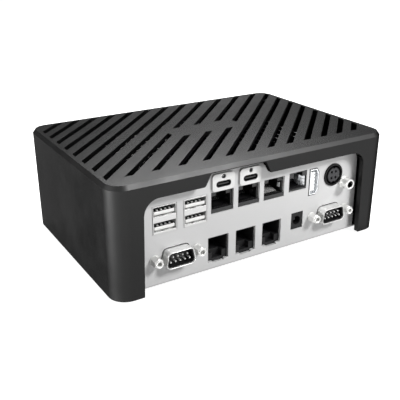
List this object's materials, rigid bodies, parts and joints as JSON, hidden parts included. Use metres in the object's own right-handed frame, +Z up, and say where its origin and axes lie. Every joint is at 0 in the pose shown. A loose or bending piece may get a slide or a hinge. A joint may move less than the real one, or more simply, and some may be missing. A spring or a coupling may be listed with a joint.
{
  "type": "fanless industrial pc",
  "caption": "Low cast housing with slanted slots over a sheet-metal chassis; its recessed plate carries data, video, serial, power and audio sockets in two rows.",
  "frame": {"origin": "on the ground, below the middle of the housing", "axes": "+Z up, -Y out of the connector side, +X to the right when the connectors face the viewer"},
  "size_m": [0.176, 0.1204, 0.0624],
  "materials": {
    "housing": "fine matt powder coat on a die casting",
    "chassis_plate": "zinc-plated sheet, fine grain",
    "base_screws": "zinc-plated",
    "mount_nuts": "zinc-plated",
    "feet": "soft rubber",
    "io_board": "solder resist on glass fibre laminate",
    "mainboard": "solder resist on glass fibre laminate",
    "usb_c_board": "solder resist on glass fibre laminate",
    "standoffs": "turned",
    "spacers": "turned",
    "board_screws": "zinc-plated",
    "board_connector": "moulded, slightly grained",
    "usb_shell_left": "bright tinned sheet",
    "usb_shell_right": "bright tinned sheet",
    "usb_insert_left": "moulded, slightly grained",
    "usb_insert_right": "moulded, slightly grained",
    "usb_c_tab_left": "nickel-plated",
    "usb_c_tab_right": "nickel-plated",
    "usb_c_shell_left": "bright tinned sheet",
    "usb_c_shell_right": "bright tinned sheet",
    "usb_c_insert_left": "moulded, slightly grained",
    "usb_c_insert_right": "moulded, slightly grained",
    "lan_body_1": "moulded, slightly grained",
    "lan_body_2": "moulded, slightly grained",
    "lan_body_3": "moulded, slightly grained",
    "lan_body_4": "moulded, slightly grained",
    "lan_contacts": "gold-plated contact",
    "lan_shield": "bright tinned sheet",
    "video_shell": "bright tinned sheet",
    "video_insert": "moulded, slightly grained",
    "power_body": "moulded, slightly grained",
    "power_contacts": "gold-plated contact",
    "audio_bush": "nickel-plated",
    "audio_body": "moulded, slightly grained",
    "com_shell_left": "nickel-plated",
    "com_shell_right": "nickel-plated",
    "com_insert_left": "moulded, slightly grained",
    "com_insert_right": "moulded, slightly grained",
    "com_pins": "gold-plated contact",
    "jackscrews": "nickel-plated",
    "port_body_1": "moulded, slightly grained",
    "port_body_2": "moulded, slightly grained",
    "port_body_3": "moulded, slightly grained",
    "port_contacts": "gold-plated contact",
    "switch_body": "moulded, slightly grained",
    "switch_pin": "zinc-plated",
    "processor": "moulded epoxy",
    "thermal_pad": "soft thermal pad",
    "heat_sink": "black anodised",
    "memory_module": "solder resist on glass fibre laminate",
    "memory_socket": "moulded",
    "ssd": "solder resist on glass fibre laminate",
    "ssd_socket": "moulded",
    "ssd_post": "zinc-plated",
    "cell_holder": "moulded",
    "coin_cell": "stamped can",
    "chokes": "pressed ferrite powder",
    "capacitors": "bare can"
  },
  "bodies": {
    "root": {"housing": "housing", "chassis_plate": "chassis_plate", "base_screws": "base_screws", "mount_nuts": "mount_nuts", "feet": "feet", "io_board": "io_board", "mainboard": "mainboard", "usb_c_board": "usb_c_board", "standoffs": "standoffs", "spacers": "spacers", "board_screws": "board_screws", "board_connector": "board_connector", "usb_shell_left": "usb_shell_left", "usb_shell_right": "usb_shell_right", "usb_insert_left": "usb_insert_left", "usb_insert_right": "usb_insert_right", "usb_c_tab_left": "usb_c_tab_left", "usb_c_tab_right": "usb_c_tab_right", "usb_c_shell_left": "usb_c_shell_left", "usb_c_shell_right": "usb_c_shell_right", "usb_c_insert_left": "usb_c_insert_left", "usb_c_insert_right": "usb_c_insert_right", "lan_body_1": "lan_body_1", "lan_body_2": "lan_body_2", "lan_body_3": "lan_body_3", "lan_body_4": "lan_body_4", "lan_contacts": "lan_contacts", "lan_shield": "lan_shield", "video_shell": "video_shell", "video_insert": "video_insert", "power_body": "power_body", "power_contacts": "power_contacts", "audio_bush": "audio_bush", "audio_body": "audio_body", "com_shell_left": "com_shell_left", "com_shell_right": "com_shell_right", "com_insert_left": "com_insert_left", "com_insert_right": "com_insert_right", "com_pins": "com_pins", "jackscrews": "jackscrews", "port_body_1": "port_body_1", "port_body_2": "port_body_2", "port_body_3": "port_body_3", "port_contacts": "port_contacts", "switch_body": "switch_body", "switch_pin": "switch_pin", "processor": "processor", "thermal_pad": "thermal_pad", "heat_sink": "heat_sink", "memory_module": "memory_module", "memory_socket": "memory_socket", "ssd": "ssd", "ssd_socket": "ssd_socket", "ssd_post": "ssd_post", "cell_holder": "cell_holder", "coin_cell": "coin_cell", "chokes": "chokes", "capacitors": "capacitors"}
  },
  "joints": []
}
